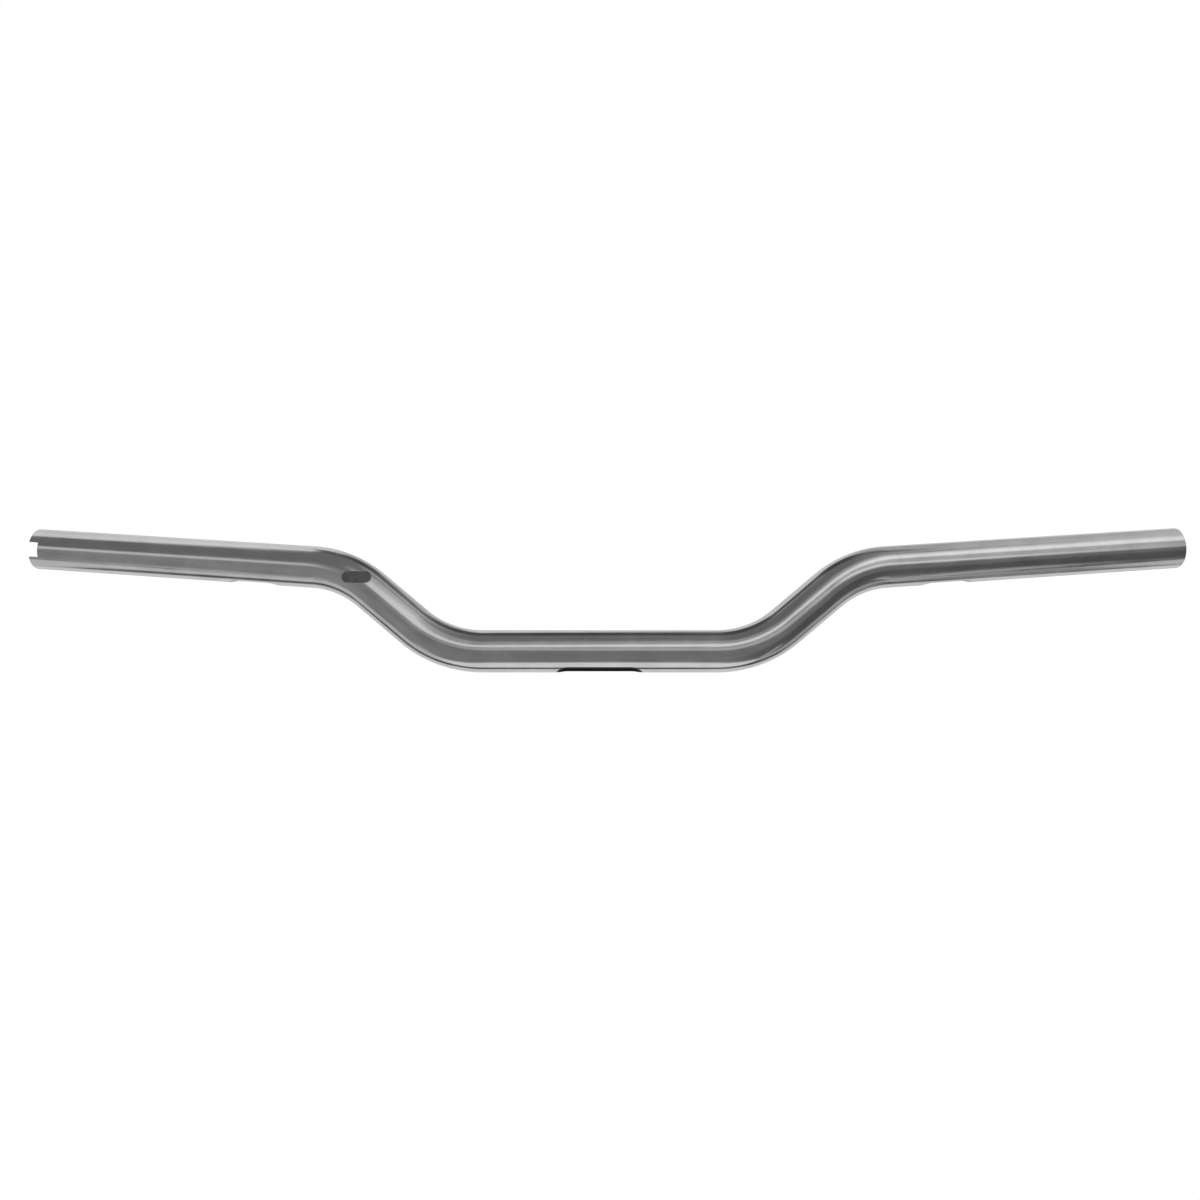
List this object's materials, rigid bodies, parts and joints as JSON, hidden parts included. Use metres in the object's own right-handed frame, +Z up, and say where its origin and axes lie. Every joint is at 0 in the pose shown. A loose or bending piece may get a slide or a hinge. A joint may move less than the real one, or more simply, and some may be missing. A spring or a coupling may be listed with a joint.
{
  "type": "motorcycle handlebar",
  "caption": "Bent one-inch steel tube handlebar with low rise and pullback, wire exits at the centre and under both grips, and an index notch at the throttle end.",
  "frame": {"origin": "middle of the clamp straight, on the tube's centre line", "axes": "+X towards the rider's left (clutch) grip, +Y rearward to the rider, +Z up, with the bar at the attitude it is held in the risers"},
  "size_m": [0.7353, 0.0906, 0.0896],
  "materials": {
    "tube_steel": "satin",
    "liner_rubber": "matte",
    "mark_print": "matte"
  },
  "bodies": {
    "root": {"handlebar_tube": "tube_steel", "wire_exit_liner": "liner_rubber", "printed_mark": "mark_print"}
  },
  "joints": []
}
